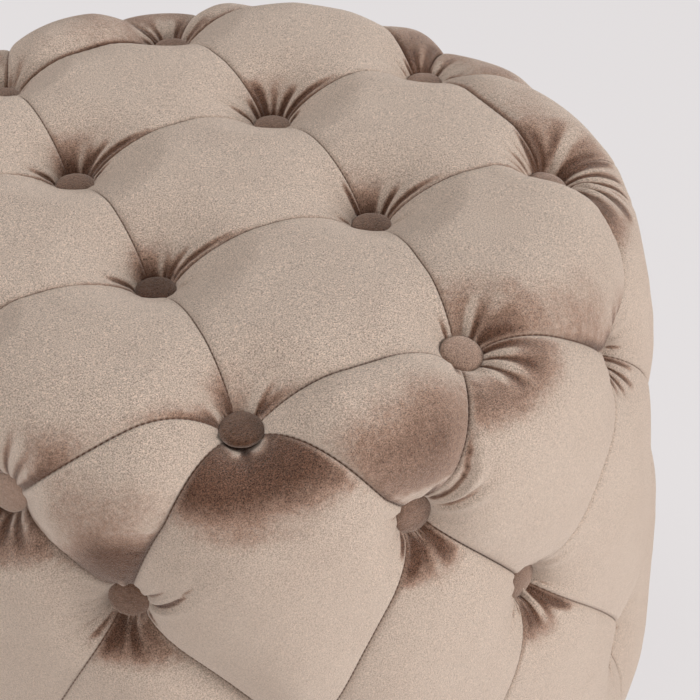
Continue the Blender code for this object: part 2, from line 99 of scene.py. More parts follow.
# Seams whose height or run stands out in the photograph, by the corners that they join, such as rim_03 for
# rim_button_03. Each has the height of its middle over the seat surface, and how far it bends aside, to the
# left of the way from the first corner to the second.
SEAMS_SEEN = {
    ("rim_01", "rim_02"): (0.024, 0.006),
    ("rim_02", "shoulder_01"): (0.018, -0.007),
    ("rim_01", "shoulder_01"): (0.015, 0.006),
    ("rim_02", "shoulder_02"): (0.02, 0.006),
    ("rim_03", "shoulder_02"): (0.017, 0.001),
    ("shoulder_02", "waist_02"): (0.022, 0.001),
    ("shoulder_02", "waist_03"): (0.017, -0.001),
    ("shoulder_01", "waist_02"): (0.016, 0.004),
    ("rim_04", "shoulder_04"): (0.029, 0),
    ("rim_04", "rim_05"): (0.022, 0),
}
BEND_REACH = 0.035
SEAM_STEPS = 33
SEAM_HEADING_SHARE = 0.2

# Pleats that are gathered in at the buttons. Where the photograph shows none, their number between two
# seams, their length, depth share and scatter are drawn by chance.
PLEAT_START = 0.0112
PLEAT_ONSET = 0.0025
PLEAT_SEAM_CLEARANCE = 0.003
PLEAT_WIDTH = 0.0015
PLEAT_DEPTH = 0.0030
PLEAT_WIDENING = 1.7
PLEAT_FADE = 1.2
RIDGE_OFFSET = 1.9
RIDGE_SHARE = 0.5
PLEAT_BEND = 5.5
# Painted shade in the pleats' valleys and painted highlight on their ridges, so much for each metre of depth
PAINTED_FOLD_SHADE = 540
PLEAT_SEED = 11
PLEAT_COUNTS_ON_TOP = (1, 3)
PLEAT_COUNTS_ON_SIDE = (2, 5)
PLEAT_LENGTHS = (0.01, 0.026)
PLEAT_DEPTH_SHARES = (0.4, 1.1)
PLEAT_SCATTER = 0.3

# Pleats seen in the photograph, by their button and the button across the seam that they start from.
# Each has its place between that seam and the next one, its length in metres and its depth share.
PLEATS_SEEN = {
    ("rim_01", "rim_02"): [(0.14, 0.026, 1.1), (0.3, 0.024, 1.2), (0.46, 0.022, 1.1), (0.62, 0.02, 1),
                           (0.8, 0.02, 0.8)],
    ("rim_02", "shoulder_01"): [(0.4, 0.01, 0.8), (0.53, 0.008, 0.7)],
    ("rim_02", "rim_03"): [(0.12, 0.024, 1), (0.27, 0.02, 1)],
    ("rim_02", "centre_4"): [(0.75, 0.014, 0.4)],
    ("rim_02", "rim_01"): [(0.15, 0.018, 0.5)],
    ("rim_02", "shoulder_02"): [(0.15, 0.016, 0.4)],
    ("centre_4", "centre_1"): [(0.11, 0.062, 0.7), (0.26, 0.02, 1), (0.42, 0.014, 0.7)],
    ("centre_4", "centre_3"): [(0.8, 0.026, 1)],
    ("centre_3", "centre_2"): [(0.11, 0.062, 0.8), (0.26, 0.022, 1), (0.4, 0.016, 0.8)],
    ("centre_3", "centre_4"): [(0.88, 0.022, 0.7)],
    ("centre_1", "centre_2"): [(0.14, 0.022, 0.9), (0.85, 0.02, 0.8)],
    ("centre_1", "rim_04"): [(0.12, 0.05, 0.8), (0.3, 0.018, 0.9)],
    ("centre_2", "rim_05"): [(0.12, 0.05, 0.8), (0.32, 0.018, 0.8), (0.85, 0.02, 0.8)],
    ("rim_03", "shoulder_03"): [(0.12, 0.024, 1.2), (0.27, 0.024, 1.2), (0.43, 0.02, 1)],
    ("rim_03", "centre_1"): [(0.2, 0.012, 0.6)],
    ("rim_03", "shoulder_02"): [(0.88, 0.022, 1.2), (0.72, 0.022, 1.3), (0.54, 0.018, 1.1)],
    ("shoulder_02", "waist_02"): [(0.12, 0.024, 1), (0.27, 0.022, 1), (0.44, 0.02, 0.8),
                                  (0.62, 0.018, 0.7), (0.8, 0.018, 0.7)],
    ("shoulder_02", "waist_03"): [(0.86, 0.036, 1.6), (0.74, 0.044, 2), (0.6, 0.036, 1.5)],
    ("shoulder_02", "rim_03"): [(0.2, 0.016, 0.7)],
    ("shoulder_01", "waist_02"): [(0.53, 0.044, 2.2), (0.7, 0.032, 1.6), (0.15, 0.014, 0.6)],
    ("shoulder_01", "waist_01"): [(0.15, 0.018, 0.5), (0.35, 0.018, 0.4), (0.6, 0.016, 0.4)],
    ("shoulder_01", "rim_01"): [(0.28, 0.026, 0.35), (0.45, 0.024, 0.35), (0.62, 0.028, 0.35),
                                (0.8, 0.022, 0.3)],
    ("waist_03", "shoulder_03"): [(0.12, 0.02, 1), (0.28, 0.022, 1.1), (0.45, 0.02, 1),
                                  (0.62, 0.018, 0.9), (0.8, 0.016, 0.8)],
    ("rim_04", "rim_05"): [(0.12, 0.03, 0.8), (0.3, 0.02, 0.5), (0.52, 0.022, 0.6), (0.75, 0.024, 0.6)],
    ("rim_04", "shoulder_04"): [(0.1, 0.03, 1.2), (0.24, 0.03, 1.1), (0.38, 0.028, 0.9),
                                (0.51, 0.028, 0.8), (0.64, 0.026, 0.9), (0.8, 0.026, 1)],
    ("rim_04", "shoulder_03"): [(0.12, 0.03, 1.4), (0.32, 0.034, 1.5), (0.52, 0.032, 1.5),
                                (0.72, 0.028, 1.3), (0.9, 0.024, 1.1)],
}

# Painted shade of the velvet, by a panel's first and third corner: how far it is painted dark at each corner
# of the panel and at its middle, in place of the dark side that velvet shows in the light. Above 0 it is
# painted dark and below 0 light.
PAINTED_SHADE_SEEN = {
    ("rim_02", "waist_02"): (0.95, 0.1, -0.45, 0.2, -0.46),
    ("rim_02", "rim_03"): (-0.8, 1.2, 0.05, -0.66),
    ("rim_01", "rim_02"): (0.05, 2.1, -1.3, -0.2),
    ("rim_01", "waist_01"): (0.72, 0, -0.5, 0.1, -0.5),
    ("shoulder_01", "lower_01"): (0.32, -0.4, -0.4, -0.4, -0.72),
    ("shoulder_02", "lower_02"): (0.22, -0.4, -0.4, -0.4, -0.62),
    ("rim_03", "waist_03"): (0.55, 0, -0.4, -0.4, -0.6),
    ("shoulder_03", "lower_03"): (0.1, -0.4, -0.4, -0.4, -0.58),
    ("waist_03", "hem_02"): (0.25, -0.4, -0.4, -0.4, -0.4, -0.55),
    ("centre_1", "shoulder_03"): (-0.6, -0.05, 4.2, -0.2, -0.1),
    ("centre_4", "rim_03"): (0.1, 0.05, -0.2, 0.3, -0.5),
    ("centre_4", "rim_01"): (0.1, -0.3, 2.6, 0.9, -0.6),
    ("centre_1", "centre_3"): (0.3, 0, 0.1, 0.5, -0.45),
    ("centre_1", "rim_05"): (0.45, 0.9, -0.2, 0.3, -0.45),
    ("centre_2", "rim_08"): (0.3, 0, -0.2, 0.9, -0.45),
    ("centre_2", "rim_06"): (0.9, 0.3, -0.1, 0.2, -0.45),
    ("centre_3", "rim_10"): (0.1, 0, 0.2, 0.8, -0.45),
    ("rim_04", "rim_05"): (0.5, -0.6, 0.3, -0.75),
    ("rim_04", "waist_04"): (1.7, -0.3, -0.6, -0.5, -0.7),
}

# Where the photograph shows none, the painted shade is drawn by chance: at the upper corner and at the others
PAINTED_SHADE_SEED = 5
PAINTED_SHADE_UPPER = (0.5, 0.9)
PAINTED_SHADE_OTHERS = (-0.4, 0.1)
PAINTED_SHADE_MIDDLE = -0.5

# How closely the painted shade at a corner keeps to that corner, by kind of panel
PAINTED_SHADE_CLOSENESS = {"top": 3.7, "edge": 1.3, "side": 2.6}

# Painted shade by slope, by kind of panel: velvet that squarely faces the way of its nap is painted darker,
# in place of the dark side that velvet shows in the light. Each kind has the angle by which its nap points
# up, how squarely the velvet must face it and how strongly it is then painted dark. Across, the nap of the
# top points along the heading below, and that of the others out.
NAP_SHADE_HEADING = (-0.39, -0.92)
NAP_SHADES = {
    "top": (math.radians(36), 0.965, 1.2),
    "edge": (math.radians(50), 0.92, 0.9),
    "side": (math.radians(62), 0.865, 2.4),
}
NAP_SHADE_LEAST = -0.55
NAP_SHADE_SEAM_CLEARANCE = 0.004

# Covered buttons: their painted shade, how far they tip up, their size and the folds round their rim.
# The dome's points are shares of its radius and height, from the middle of its top to that of its back.
BUTTON_PAINTED_SHADE = 0.15
BUTTON_PAINTED_SHADE_SEEN = {"rim_03": -0.2, "rim_01": -0.3, "shoulder_02": 0.1, "centre_4": 0.45, "rim_02": 0.25}
BUTTON_TILT_SEEN = {"rim_02": 0.24, "rim_03": -0.10}
BUTTON_RADIUS = 0.0120
BUTTON_HEIGHT = 0.0052
BUTTON_LIFT = 0.0003
BUTTON_SIDES = 48
BUTTON_DOME_SHARES = [
    (0.25, 0.985), (0.5, 0.93), (0.7, 0.85), (0.84, 0.75), (0.93, 0.63), (0.985, 0.46), (1.0, 0.25),
    (0.97, 0.08), (0.90, 0.0), (0.55, 0.0),
]
BUTTON_FOLD_START_SHARE = 0.75
BUTTON_FOLD_COUNT = 12
BUTTON_FOLD_SWAY = 3
BUTTON_FOLD_DEPTH = 0.00012

# Grid of a panel's quarter: rings round its button, each with steps from the seams towards its middle.
# Points of a piece that lie closer than the weld distance are merged.
RINGS = 30
RING_CROWDING = 1.15
FIRST_RING_SHARE = 0.10
SIDE_STEPS = 20
SIDE_CROWDING = 0.6
WELD_DISTANCE = 2e-5

# Camera that took the photograph, found from the places of the buttons in it
CAMERA_PLACE = (-0.373, -0.878, 1.062)
CAMERA_TURN_DEGREES = (51.5, 0.0, -27.8)
CAMERA_LENS = 100.3
SENSOR_WIDTH = 36.0

# Way along the seat surface to where the hem stands out from it level with the cover's lower edge
COVER_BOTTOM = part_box("velvet_cover")[0].z
HEM_TURN = math.acos((COVER_BOTTOM - BELLY_HEIGHT) / (SIDE_CURVE_RADIUS + HEM_RISE))
HEM_PATH = FLAT_RADIUS + SHOULDER_PATH + SIDE_CURVE_RADIUS * (HEM_TURN - SHOULDER_TURN)

# Turned-in hem and inner side of the cover
COVER_UNDER_BUTTON = 0.006
HEM_FLANGE_THICKNESS = 0.003
HEM_MATCH = 1e-7
HEM_LEAST_STEP = 1e-6
HEM_RINGS = 8
HEM_GATHER_COUNT = 96
HEM_GATHER_SWAY = 2
HEM_GATHER_SWAY_COUNT = 7
HEM_GATHER_DEPTH = 0.0012
INNER_RINGS = 16
# Painted shade of the inner side: below 0, so it is painted light
INNER_PAINTED_SHADE = -0.5

# Foam inside the cover
FOAM_CLEARANCE = 0.0006
FOAM_EDGE = 0.006
FOAM_EDGE_ROUNDING_SHARE = 0.3
FOAM_RINGS = 80
ROUND_SIDES = 96

# Dust cover, which laps over the hem, and its staples. A crown point of a staple is a share of its half
# length, and a height in wires.
CLOTH_LAP = 0.024
HEM_OPENING_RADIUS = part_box("dust_cover")[1].x - CLOTH_LAP
CLOTH_THICKNESS = 0.0008
CLOTH_MIDDLE_SHARE = 0.5
CLOTH_SLOPE = 0.008
CLOTH_BEND_SHARE = 0.6
CLOTH_DIP = 0.0008
CLOTH_LAP_START = 0.006
CLOTH_LAP_END = 0.007
CLOTH_SCALLOP = 0.0012
CLOTH_STEPS = 6
STAPLE_COUNT = 44
STAPLE_INSET = 0.0035
STAPLE_LENGTH = 0.010
STAPLE_WIRE = 0.0007
STAPLE_LIFT = 0.0001
STAPLE_CROWN = [(-1, 0.8), (-1, 0.24), (-0.94, 0), (0.94, 0), (1, 0.24), (1, 0.8)]
STAPLE_WELD = 1e-6

# Glides. The points of a nail's tip are shares of its radius: out from its middle and down from its end.
# Those of a glide's face are the way in from its rim and the height over the floor.
GLIDE_COUNT = 4
GLIDE_SIDES = 48
GLIDE_GAP = 0.0006
GLIDE_EDGE = 0.001
GLIDE_NAIL_RADIUS = 0.002
GLIDE_NAIL_TIP_SHARES = [(0, 0), (0.6, 0.5), (1, 1.5)]
GLIDE_FACE = [(0, 0.0035), (0.0005, 0.0018), (0.0018, 0.0007), (0.004, 0.0002)]
GLIDE_FLAT_SHARE = 0.5

# Posts of the wooden frame, and the height of a pale and a dark ply of its boards
POST_COUNT = 4
PLY_PITCH = 0.0028

# Velvet: the swells a metre of its clouds, flecks and grain, the range of its tone and painted shade over
# which it goes from light to dark, the shades that it keeps within, the depth of its relief, and where the
# dark line of a seam fades. The velvet's and the buttons' colours go from a lit one over a warmer half-shaded
# one to a
# shaded one: lit and shaded copies of one velvet, painted light and shade.
CLOUD_SCALE = 34
FLECK_SCALE = 420
GRAIN_SCALE = 1400
SHADE_AND_TONE_RANGE = (-0.37, 0.43)
SHADE_LIMITS = (-0.3, 1.05)
VELVET_RELIEF = 0.0007
SEAM_LINE = (0.0001, 0.0007)
STITCH_PITCH = 0.0028
SEAM_COLOUR = (0.120, 0.058, 0.036)
VELVET_COLOURS = (0.54, 0.425, 0.346), (0.335, 0.214, 0.157), (0.130, 0.065, 0.041)
BUTTON_COLOURS = (0.40, 0.27, 0.205), (0.247, 0.150, 0.107), (0.095, 0.044, 0.025)

# Colours between which the other finishes vary
FOAM_COLOURS = (0.86, 0.79, 0.60), (0.62, 0.52, 0.33)
PLYWOOD_COLOURS = (0.70, 0.53, 0.34), (0.40, 0.25, 0.13)
FIBREBOARD_COLOURS = (0.40, 0.28, 0.17), (0.20, 0.12, 0.065)
DUST_CLOTH_COLOURS = (0.030, 0.030, 0.033), (0.012, 0.012, 0.013)
NYLON_COLOURS = (0.022, 0.022, 0.024), (0.055, 0.053, 0.050)
STAPLE_COLOURS = (0.62, 0.62, 0.63), (0.45, 0.45, 0.46)

# Studio: the floor, the sky, and each light's place, size and power
FLOOR_REACH = 8
FLOOR_COLOUR = (0.72, 0.70, 0.70)
FLOOR_GLOW = (0.775, 0.745, 0.75)
FLOOR_GLOW_SHARE = 0.85
SKY_COLOUR = (0.95, 0.93, 0.92)
SKY_STRENGTH = 0.45
LIGHT_AIM = (0, 0, 0.3)
LIGHTS = {
    "front_right": ((2.2, -1.6, 1.15), 1.0, 68),
    "overhead": ((-0.6, 1.3, 2.2), 1.4, 25),
    "front_left": ((-1.6, -1.9, 0.7), 1.6, 25),
}


def swell(share, power):
    """A quarter of a superellipse: 0 at share 0, where it is steep, and level at 1 from share 1 on."""
    return (1 - (1 - np.clip(share, 0, 1)) ** power) ** (1 / power)


def ease(share):
    """A smooth step from 0 at share 0 to 1 at share 1."""
    share = np.clip(share, 0, 1)
    return share * share * (3 - 2 * share)


def seat_section(path):
    """Radius and height on the seat surface at a way from the middle of its top, and its outward turn.

    The way runs level to FLAT_RADIUS, then round the shoulder's arc, and then down the side's wide arc.
    """
    shoulder_turn = np.clip((path - FLAT_RADIUS) / SHOULDER_RADIUS, 0, SHOULDER_TURN)
    beyond = path - FLAT_RADIUS - SHOULDER_PATH
    turn = shoulder_turn + np.maximum(beyond, 0) / SIDE_CURVE_RADIUS
    on_side = beyond > 0
    curve = np.where(on_side, SIDE_CURVE_RADIUS, SHOULDER_RADIUS)
    radius = np.where(on_side, SIDE_CENTRE_RADIUS, np.minimum(path, FLAT_RADIUS)) + curve * np.sin(turn)
    height = np.where(on_side, BELLY_HEIGHT, SHOULDER_CENTRE_HEIGHT) + curve * np.cos(turn)
    return radius, height, turn


def inset_section(path, inset):
    """Radius and height so far inside the seat surface, at a way from the middle of its top."""
    radius, height, turn = seat_section(path)
    return np.maximum(radius - inset * np.sin(turn), 0), height - inset * np.cos(turn)


def around(radius, turn, height):
    """Places at a radius from the pouf's upright axis, at an angle round it and at a height."""
    return np.stack([radius * np.cos(turn), radius * np.sin(turn), height + 0 * turn], axis=-1)


def outward(chart):
    """The direction that faces out of the seat surface at chart points.

    A chart point is a complex number: its size is the way along the seat surface from the middle of
    the top, and its angle is the angle round the pouf.
    """
    turn = seat_section(np.abs(chart))[2]
    return around(np.sin(turn), np.angle(chart), np.cos(turn))


def on_seat(chart, rise=0.0):
    """Places in space at chart points, so far out from the seat surface."""
    radius, height, _ = seat_section(np.abs(chart))
    return around(radius, np.angle(chart), height) + outward(chart) * np.asarray(rise)[..., None]


def chart_of(place):
    """The chart point straight under a place in space, on the flat top, the shoulder or the side."""
    radius = math.hypot(place[0], place[1])
    path = radius
    if radius > FLAT_RADIUS:
        turn = math.atan2(radius - FLAT_RADIUS, place[2] - SHOULDER_CENTRE_HEIGHT)
        path = FLAT_RADIUS + SHOULDER_RADIUS * turn
        if turn > SHOULDER_TURN:
            turn = math.atan2(radius - SIDE_CENTRE_RADIUS, place[2] - BELLY_HEIGHT)
            path = FLAT_RADIUS + SHOULDER_PATH + SIDE_CURVE_RADIUS * (turn - SHOULDER_TURN)
    return path * np.exp(1j * math.atan2(place[1], place[0]))


def blended(shares, corners):
    """Chart points that are shares of a panel's corners, on the side level with them and not above them."""
    straight = shares @ corners
    way = shares @ np.abs(corners)
    lean = np.clip((way - FLAT_RADIUS) / SHOULDER_PATH, 0, 1)
    length = np.abs(straight) + (way - np.abs(straight)) * lean
    return straight / np.maximum(np.abs(straight), 1e-9) * length


def row_names(row):
    """The short names of the corners in one row, such as rim_01 to rim_10."""
    if row == "centre":
        return [f"centre_{index + 1}" for index in range(len(CENTRE_NEIGHBOURS))]
    return [f"{row}_{index + 1:02d}" for index in range(ROW_COUNT)]


def button_names():
    """The short names of all covered buttons, row by row."""
    return [name for row in BUTTON_ROWS for name in row_names(row)]


def button_node(name):
    """The name of the CAD node of a button, from its short name."""
    return name.replace("_", "_button_")


def corner_places():
    """The chart point of each button, read from its CAD node, and of each hem corner under a lower button."""
    places = {}
    for name in button_names():
        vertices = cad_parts[button_node(name)].data.vertices
        places[name] = chart_of(np.mean([vertex.co for vertex in vertices], axis=0))
    for above, name in zip(row_names("lower"), row_names("hem")):
        places[name] = places[above] / abs(places[above]) * HEM_PATH
    return places


def sewn_panels():
    """The names of the corners of each sewn panel, in order round it as seen from outside."""
    centre, rim, shoulder, waist, lower, hem = (row_names(row) for row in (*BUTTON_ROWS, "hem"))
    panels = [tuple(centre)]
    for corner, (before, after) in enumerate(CENTRE_NEIGHBOURS):
        next_corner = (corner + 1) % len(centre)
        following = CENTRE_NEIGHBOURS[next_corner][0]
        panels.append((centre[corner], rim[after], rim[following], centre[next_corner]))
        outer = shoulder[before] if before in CORNER_SHOULDERS else rim[(before + 1) % ROW_COUNT]
        panels.append((centre[corner], rim[before], outer, rim[after]))
    for index in range(ROW_COUNT):
        after = (index + 1) % ROW_COUNT
        if index not in CORNER_SHOULDERS:
            panels.append((rim[index], shoulder[index], rim[after]))
        panels.append((rim[index], shoulder[index - 1], waist[index], shoulder[index]))
        panels.append((shoulder[index], waist[index], lower[index], waist[after]))
        panels.append((waist[index], lower[index - 1], hem[index - 1], hem[index], lower[index]))
    return panels


def quarter_grid(corner, count):
    """Shares of a panel's corners over the quarter of it at one corner.

    The grid's first direction goes out from the corner in rings. Its second goes round each ring, from
    the seam after the corner to the seam before it, in steps that crowd together at the seams further out.
    """
    out = np.linspace(0, 1, RINGS) ** RING_CROWDING
    ring = np.concatenate([[0], FIRST_RING_SHARE + (1 - FIRST_RING_SHARE) * out])[:, None]
    step = np.linspace(-1, 1, 2 * SIDE_STEPS + 1)[None, :]
    inward = (1 - np.abs(step)) ** (1 + SIDE_CROWDING * ease(ring))
    along = (ring * np.where(step <= 0, 1, inward))[..., None]
    across = (ring * np.where(step >= 0, 1, inward))[..., None]
    own = np.eye(count)[corner]
    after = (own + np.eye(count)[(corner + 1) % count]) / 2
    before = (own + np.eye(count)[corner - 1]) / 2
    centre = np.full(count, 1 / count)
    lower_row = (1 - along) * own + along * after
    upper_row = (1 - along) * before + along * centre
    return (1 - across) * lower_row + across * upper_row


def bent(chart, places):
    """Chart points moved aside with the bent seams: by half a sine along a seam, a bell curve across it."""
    moved = chart
    for (first, second), (_, bend) in SEAMS_SEEN.items():
        start, run = places[first], places[second] - places[first]
        offset = (chart - start) / run
        beside = offset.imag * abs(run) / BEND_REACH
        bow = np.sin(np.pi * np.clip(offset.real, 0, 1)) * np.exp(-(beside**2))
        moved = moved + 1j * run / abs(run) * bend * bow
    return moved


def seam_distances(points, seam, places):
    """The least distance of points to the seam between two corners, and the way along it there."""
    share = np.linspace(0, 1, SEAM_STEPS)[:, None]
    ends = np.array([places[name] for name in sorted(seam)])
    line = on_seat(bent(blended(np.hstack([1 - share, share]), ends), places))
    least = np.full(points.shape[:-1], np.inf)
    along = np.zeros(points.shape[:-1])
    passed = 0.0
    for start, end in zip(line[:-1], line[1:]):
        stretch = end - start
        length = np.linalg.norm(stretch)
        share = np.clip((points - start) @ stretch / length**2, 0, 1)
        distance = np.linalg.norm(points - start - share[..., None] * stretch, axis=-1)
        along = np.where(distance < least, passed + share * length, along)
        least = np.minimum(least, distance)
        passed += length
    return least, along


def crossed_waves(points, waves, phases):
    """The mean of a few sine waves that cross in space, each with its turn a metre along X, Y and Z."""
    return np.sin(points @ np.array(waves).T + np.array(phases)).mean(-1)


def undulation(points):
    """Slow swells and dips of the wadding: four crossed waves."""
    waves = [(62, 34, 18), (-26, 74, 42), (86, -58, 66), (22, 46, -94)]
    return crossed_waves(points, waves, [0.3, 1.9, 4.1, 2.6])


def wrinkles(points):
    """Small soft wrinkles of the velvet: three crossed waves, in bands where two slower ones are high."""
    bend = crossed_waves(points, [(90, 40, 70), (-50, 80, -60)], [1.1, 3.0])
    waves = [(310, 190, 240), (-280, 330, 150), (120, -260, 380)]
    return crossed_waves(points, waves, [0.4, 2.2, 5.0]) * np.clip(0.5 + bend, 0, 1)


def sides_of(panel):
    """Each corner of a panel with the next one round it."""
    return list(zip(panel, panel[1:] + panel[:1]))


def hollow_reaches(places, panels):
    """How far the hollow of each button reaches: at most about half way to the nearest button sewn to it."""
    reaches = {}
    for panel in panels:
        for first, second in sides_of(panel):
            apart = np.linalg.norm(on_seat(places[first]) - on_seat(places[second]))
            reach = min(apart * HOLLOW_NEIGHBOUR_SHARE - BUTTON_HOLLOW, HOLLOW_REACH)
            for name in (first, second):
                if not name.startswith("hem"):
                    reaches[name] = min(reach, reaches.get(name, reach))
    return reaches


def seam_level(first, second, places):
    """How far the middle of a seam stands out: less on a short seam, and less along the edge of the top."""
    for pair in ((first, second), (second, first)):
        if pair in SEAMS_SEEN:
            return SEAMS_SEEN[pair][0]
    length = np.linalg.norm(on_seat(places[first]) - on_seat(places[second]))
    rows = {name.split("_")[0] for name in (first, second)}
    rise = {frozenset(["rim"]): EDGE_SEAM_RISE, frozenset(["rim", "shoulder"]): SHOULDER_SEAM_RISE}
    return rise.get(frozenset(rows), SEAM_RISE) * min(length / FULL_SEAM_LENGTH, 1)


def panel_rise(panel, places, points, chart, gaps, ways, reaches):
    """How far the velvet stands out over one panel.

    Between the buttons the seams stand at their level and the crown at CROWN_RISE, less on small panels.
    From a seam the rise goes up along a superellipse, and from a button along a steeper one. Seams are
    sunk into a groove with puckers beside it, and over the hem the rise goes down to HEM_RISE.
    """
    buttons = [name for name in panel if not name.startswith("hem")]
    feet = [on_seat(places[name]) for name in buttons]
    levels = [seam_level(first, second, places) for first, second in gaps]
    apart = np.stack(list(gaps.values()), axis=-1) + 1e-7
    pull = apart**-2.0
    level = pull @ np.array(levels) / pull.sum(-1)
    nearest_seam = (apart**-3.0).sum(-1) ** (-1 / 3)
    centre = on_seat(blended(np.full(len(panel), 1 / len(panel)), np.array([places[name] for name in panel])))
    reach = np.mean([np.linalg.norm(foot - centre) for foot in feet])
    crown = CROWN_RISE * min(reach / FULL_PANEL_REACH, 1)
    rise = level + (crown - level) * swell(nearest_seam / CREASE_REACH, CREASE_ROUNDNESS)
    off_seam = ease(nearest_seam / CREASE_REACH)
    rise += (UNDULATION * undulation(points) + WRINKLE * wrinkles(points)) * off_seam
    for name, hollow_reach in reaches.items():
        away = np.linalg.norm(points - on_seat(places[name]), axis=-1) - BUTTON_HOLLOW
        on_top = name.startswith(("centre", "rim"))
        rise = rise * swell(away / hollow_reach, TOP_HOLLOW_ROUNDNESS if on_top else SIDE_HOLLOW_ROUNDNESS)
    clear = np.min([np.linalg.norm(points - foot, axis=-1) for foot in feet], axis=0)
    beside = apart.min(-1)
    groove = GROOVE_DEPTH * np.exp(-((beside / GROOVE_WIDTH) ** 2))
    reached = beside / PUCKER_REACH
    drift = PUCKER_DRIFT * undulation(points * PUCKER_DRIFT_PACE)
    ripple = np.sin(ways * (2 * math.pi / PUCKER_PITCH) + drift)
    pucker = PUCKER * ripple * reached * np.exp(1 - reached**2)
    rise += (pucker - groove) * ease((clear - BUTTON_HOLLOW) / GROOVE_START)
    if len(buttons) < len(panel):
        above_hem = HEM_PATH - np.abs(chart)
        rise = HEM_RISE + (rise - HEM_RISE) * swell(above_hem / HEM_REACH, HEM_ROUNDNESS)
    return rise


def button_axes(chart):
    """The foot of a button, and the two directions along the seat surface there: round the pouf and up it."""
    foot, out = on_seat(chart), outward(chart)
    side = np.array([-math.sin(np.angle(chart)), math.cos(np.angle(chart)), 0])
    return foot, side, np.cross(out, side)


def seam_heading(start, end):
    """The angle at which a seam leaves a button, in the button's own two directions."""
    foot, side, up = button_axes(start)
    shares = np.array([[1 - SEAM_HEADING_SHARE, SEAM_HEADING_SHARE]])
    away = on_seat(blended(shares, np.array([start, end])))[0] - foot
    return math.atan2(away @ up, away @ side)


def sector_pleats(name, first, draw):
    """The pleats of one button between two seams: those seen in the photograph, or some drawn by chance."""
    if (name, first) in PLEATS_SEEN:
        return PLEATS_SEEN[name, first]
    counts = PLEAT_COUNTS_ON_TOP if name.startswith("centre") else PLEAT_COUNTS_ON_SIDE
    count = draw.integers(*counts)
    shares = (np.arange(count) + 0.5 + draw.uniform(-PLEAT_SCATTER, PLEAT_SCATTER, count)) / count
    lengths = draw.uniform(*PLEAT_LENGTHS, count)
    return list(zip(shares, lengths, draw.uniform(*PLEAT_DEPTH_SHARES, count)))


def pleat_rise(points, chart, before, after, pleats):
    """How far the pleats of one button, between the seams to two others, lift and sink the velvet.

    Each pleat is a crisp valley with a soft ridge on either side, deepest close to the button. It bends
    away from the middle between the seams, more the deeper it is.
    """
    foot, side, up = button_axes(chart)
    away = points - foot
    radius = np.linalg.norm(away, axis=-1)
    heading = np.arctan2(away @ up, away @ side)
    start = seam_heading(chart, after)
    span = (seam_heading(chart, before) - start) % (2 * math.pi)
    rise = np.zeros(radius.shape)
    for share, length, depth in pleats:
        bend = math.copysign(PLEAT_BEND * depth, share - 0.5) * np.maximum(radius - PLEAT_START, 0)
        off = (heading - start - share * span - bend + math.pi) % (2 * math.pi) - math.pi
        across = off * radius
        gone = np.clip((radius - PLEAT_START) / length, 0, 1)
        strength = ease((radius - BUTTON_HOLLOW) / PLEAT_ONSET) * (1 - gone) ** PLEAT_FADE
        width = PLEAT_WIDTH * (1 + PLEAT_WIDENING * gone)
        valley = np.exp(-((across / width) ** 2))
        ridges = np.exp(-(((np.abs(across) - RIDGE_OFFSET * width) / width) ** 2))
        rise += PLEAT_DEPTH * depth * strength * (RIDGE_SHARE * ridges - valley) * (np.cos(off) > 0)
    return rise


def pile_levels(panel, draw):
    """How far a panel's velvet is painted dark, as painted shade, at each corner and at its middle."""
    if (panel[0], panel[2]) in PAINTED_SHADE_SEEN:
        return PAINTED_SHADE_SEEN[panel[0], panel[2]]
    upper = draw.uniform(*PAINTED_SHADE_UPPER)
    others = draw.uniform(*PAINTED_SHADE_OTHERS, len(panel))
    return (upper, *others[1:], PAINTED_SHADE_MIDDLE)


def grid_normals(places, chart):
    """The outward directions of a grid of places, from the steps between its points."""
    normals = np.cross(np.gradient(places, axis=0), np.gradient(places, axis=1))
    normals /= np.linalg.norm(normals, axis=-1, keepdims=True) + 1e-12
    return normals * np.sign((normals * outward(chart)).sum(-1, keepdims=True))


def panel_kind(panel):
    """Whether a panel lies on the top, is a triangle at its edge, or hangs on the side."""
    if len(panel) == 3:
        return "edge"
    return "top" if panel[0].startswith("centre") else "side"


def painted_nap_shade(panel, chart, normals, nearest):
    """How far its slope paints the velvet of a panel dark, as painted shade.

    That is more the more squarely it faces the nap past the middle value, and fades at the seams.
    """
    kind = panel_kind(panel)
    elevation, middle, strength = NAP_SHADES[kind]
    heading = np.array(NAP_SHADE_HEADING)
    if kind != "top":
        heading = np.stack([np.cos(np.angle(chart)), np.sin(np.angle(chart))], axis=-1)
    level = (normals[..., :2] * heading).sum(-1)
    square = level * math.cos(elevation) + normals[..., 2] * math.sin(elevation)
    return np.maximum((square - middle) * strength, NAP_SHADE_LEAST) * ease(nearest / NAP_SHADE_SEAM_CLEARANCE)


def grid_faces(rows, columns, first=0):
    """The faces between the points of a grid, which are counted row by row from the first."""
    index = np.arange(rows * columns).reshape(rows, columns) + first
    corners = [index[:-1, :-1], index[1:, :-1], index[1:, 1:], index[:-1, 1:]]
    return np.stack(corners, axis=-1).reshape(-1, 4)


def ring_faces(rings, sides):
    """The faces between closed rings of points, which are counted ring by ring."""
    index = np.arange(rings * sides).reshape(rings, sides)
    after = np.roll(index, -1, axis=1)
    return np.stack([index[:-1], index[1:], after[1:], after[:-1]], axis=-1).reshape(-1, 4)


class Velvet:
    """Gathers the grids of the cover while its panels are worked out."""

    def __init__(self):
        self.places, self.faces = [], []
        self.measures = {"seam_gap": [], "seam_way": [], "pile": []}
        self.count = 0

    def add_grid(self, places, **measures):
        """Adds one grid of points, with its faces and what is measured at each point."""
        rows, columns = places.shape[:2]
        self.faces.append(grid_faces(rows, columns, self.count))
        self.places.append(places.reshape(-1, 3))
        for name, values in measures.items():
            self.measures[name].append(values.reshape(-1))
        self.count += rows * columns


